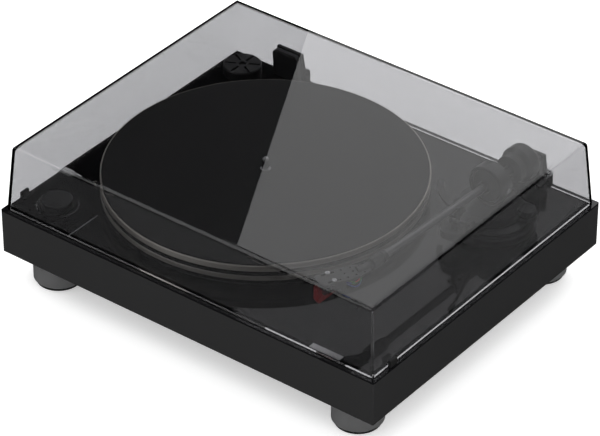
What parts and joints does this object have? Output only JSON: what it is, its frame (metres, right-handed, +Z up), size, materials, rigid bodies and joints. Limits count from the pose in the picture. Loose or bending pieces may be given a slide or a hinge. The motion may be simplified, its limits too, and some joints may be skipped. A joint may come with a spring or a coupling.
{
  "type": "turntable record player",
  "caption": "Direct-drive record player with a straight gimbal tonearm, a gloss black plinth on levelling feet and a hinged smoked dust cover.",
  "frame": {"origin": "on the ground plane, under the middle of the whole object's bounding box", "axes": "+Z up, +X to the tonearm side, -Y towards the user; the dust cover's hinges are at +Y"},
  "size_m": [0.43, 0.3558, 0.1468],
  "materials": {
    "plinth_body": "satin",
    "gloss_top": "gloss",
    "steel_plate": "satin",
    "steel": "satin",
    "black_plastic": "satin",
    "silver_trim": "satin",
    "board_green": "satin",
    "bearing_brass": "satin",
    "contact_gold": "polished",
    "black_metal": "satin",
    "platter_metal": "satin",
    "mat_rubber": "matt",
    "magnet": "matt",
    "acrylic_smoke": "clear",
    "sole_rubber": "matt",
    "foot_shell": "satin",
    "arm_alloy": "satin",
    "head_alloy": "satin",
    "wire_insulation": "satin",
    "stylus_red": "gloss",
    "weight_steel": "satin"
  },
  "bodies": {
    "base": {"plinth": "plinth_body", "top_plate": "gloss_top", "bottom_cover": "steel_plate", "cover_screws": "steel", "knob_bezel": "black_plastic", "speed_marks": "silver_trim", "deck_inlay": "silver_trim", "blank_badge": "silver_trim", "rotary_switch": "black_plastic", "main_board": "board_green", "motor_stator": "board_green", "bearing_housing": "bearing_brass", "rear_panel": "steel_plate", "rca_sockets": "contact_gold", "ground_post": "steel", "power_inlet": "black_plastic", "hinge_brackets": "black_metal", "hinge_pins": "steel", "arm_base": "black_metal", "adapter_peg": "steel"},
    "platter": {"platter": "platter_metal", "platter_mat": "mat_rubber", "spindle": "steel", "rotor_magnet": "magnet"},
    "lid": {"dust_cover": "acrylic_smoke", "hinge_leaves": "black_metal", "hinge_clamps": "black_plastic", "cover_bumpers": "sole_rubber"},
    "speed_knob": {"speed_knob": "black_metal"},
    "power_rocker": {"power_rocker": "black_plastic"},
    "ground_nut": {"ground_nut": "contact_gold"},
    "adapter_45": {"adapter_45": "black_plastic"},
    "foot_front_left": {"foot_front_left": "foot_shell", "sole_front_left": "sole_rubber"},
    "foot_front_right": {"foot_front_right": "foot_shell", "sole_front_right": "sole_rubber"},
    "foot_rear_left": {"foot_rear_left": "foot_shell", "sole_rear_left": "sole_rubber"},
    "foot_rear_right": {"foot_rear_right": "foot_shell", "sole_rear_right": "sole_rubber"},
    "height_ring": {"height_ring": "black_metal"},
    "arm_platform": {"arm_platform": "black_metal", "arm_rest": "black_plastic"},
    "anti_skate_dial": {"anti_skate_dial": "black_plastic"},
    "cue_lever": {"cue_lever": "silver_trim"},
    "lifter": {"lifter": "black_plastic"},
    "arm_yaw": {"gimbal_ring": "black_metal", "pivot_screws": "steel"},
    "arm_pitch": {"arm_hub": "black_metal", "arm_tube": "arm_alloy", "headshell": "head_alloy", "cartridge": "black_plastic", "cartridge_screws": "steel", "headshell_wires": "wire_insulation"},
    "stylus_unit": {"stylus_unit": "stylus_red"},
    "locking_collar": {"locking_collar": "arm_alloy"},
    "weight_bush": {"weight_bush": "bearing_brass"},
    "counterweight": {"counterweight": "weight_steel"},
    "tracking_dial": {"tracking_dial": "weight_steel"}
  },
  "joints": [
    {"name": "lid_hinge", "type": "hinge", "parent": "base", "child": "lid", "pos_m": [0, 0.1736, 0.0828], "axis": [-1, 0, 0], "range_deg": [0, 65]},
    {"name": "platter_spin", "type": "hinge", "parent": "base", "child": "platter", "pos_m": [-0.0408, -0.00365, 0.078], "axis": [0, 0, -1], "continuous": true},
    {"name": "speed_select", "type": "hinge", "parent": "base", "child": "speed_knob", "pos_m": [-0.1768, -0.14125, 0.078], "axis": [0, 0, 1], "range_deg": [0, 64.62]},
    {"name": "power_switch", "type": "hinge", "parent": "base", "child": "power_rocker", "pos_m": [0.106, 0.16035, 0.0535], "axis": [-1, 0, 0], "range_deg": [0, 16]},
    {"name": "ground_nut_turn", "type": "hinge", "parent": "base", "child": "ground_nut", "pos_m": [0.065, 0.17135, 0.0535], "axis": [0, 1, 0], "continuous": true},
    {"name": "adapter_lift", "type": "slide", "parent": "base", "child": "adapter_45", "axis": [0, 0, 1], "range_m": [0, 0.008]},
    {"name": "foot_level_front_left", "type": "slide", "parent": "base", "child": "foot_front_left", "axis": [0, 0, -1], "range_m": [0, 0.005]},
    {"name": "foot_level_front_right", "type": "slide", "parent": "base", "child": "foot_front_right", "axis": [0, 0, -1], "range_m": [0, 0.005]},
    {"name": "foot_level_rear_left", "type": "slide", "parent": "base", "child": "foot_rear_left", "axis": [0, 0, -1], "range_m": [0, 0.005]},
    {"name": "foot_level_rear_right", "type": "slide", "parent": "base", "child": "foot_rear_right", "axis": [0, 0, -1], "range_m": [0, 0.005]},
    {"name": "height_ring_turn", "type": "hinge", "parent": "base", "child": "height_ring", "pos_m": [0.1532, 0.08185, 0.088], "axis": [0, 0, 1], "range_deg": [0, 72]},
    {"name": "arm_height", "type": "slide", "parent": "base", "child": "arm_platform", "axis": [0, 0, 1], "range_m": [0, 0.0018]},
    {"name": "anti_skate_turn", "type": "hinge", "parent": "arm_platform", "child": "anti_skate_dial", "pos_m": [0.1847, 0.09335, 0.1], "axis": [0, 0, 1], "range_deg": [0, 270]},
    {"name": "cue_lever_turn", "type": "hinge", "parent": "arm_platform", "child": "cue_lever", "pos_m": [0.1642, 0.03485, 0.105], "axis": [1, 0, 0], "range_deg": [0, 50]},
    {"name": "lifter_travel", "type": "slide", "parent": "arm_platform", "child": "lifter", "axis": [0, 0, 1], "range_m": [-0.004, 0]},
    {"name": "arm_swing", "type": "hinge", "parent": "arm_platform", "child": "arm_yaw", "pos_m": [0.1532, 0.08185, 0.12], "axis": [0, 0, -1], "range_deg": [0, 46]},
    {"name": "arm_tilt", "type": "hinge", "parent": "arm_yaw", "child": "arm_pitch", "pos_m": [0.1532, 0.08185, 0.12], "axis": [-0.9996, 0.0279, 0], "range_deg": [-1.4, 1.2]},
    {"name": "stylus_pull", "type": "slide", "parent": "arm_pitch", "child": "stylus_unit", "axis": [-0.4003, -0.9158, 0.0324], "range_m": [0, 0.01]},
    {"name": "collar_turn", "type": "hinge", "parent": "arm_pitch", "child": "locking_collar", "pos_m": [0.14857, -0.08398, 0.12579], "axis": [-0.0279, -0.999, 0.0349], "range_deg": [0, 30]},
    {"name": "weight_travel", "type": "slide", "parent": "arm_pitch", "child": "weight_bush", "axis": [0.0279, 0.999, -0.0349], "range_m": [-0.0025, 0]},
    {"name": "weight_turn", "type": "hinge", "parent": "weight_bush", "child": "counterweight", "pos_m": [0.15446, 0.12681, 0.11843], "axis": [0.0279, 0.999, -0.0349], "range_deg": [-360, 0]},
    {"name": "tracking_dial_turn", "type": "hinge", "parent": "weight_bush", "child": "tracking_dial", "pos_m": [0.15407, 0.11282, 0.11892], "axis": [0.0279, 0.999, -0.0349], "range_deg": [-180, 180]}
  ],
  "couplings": [
    {"joint": "lifter_travel", "follows": "cue_lever_turn", "m_per_rad": -0.0045837},
    {"joint": "arm_height", "follows": "height_ring_turn", "m_per_rad": 0.0014324},
    {"joint": "weight_travel", "follows": "weight_turn", "m_per_rad": 0.00039789}
  ]
}
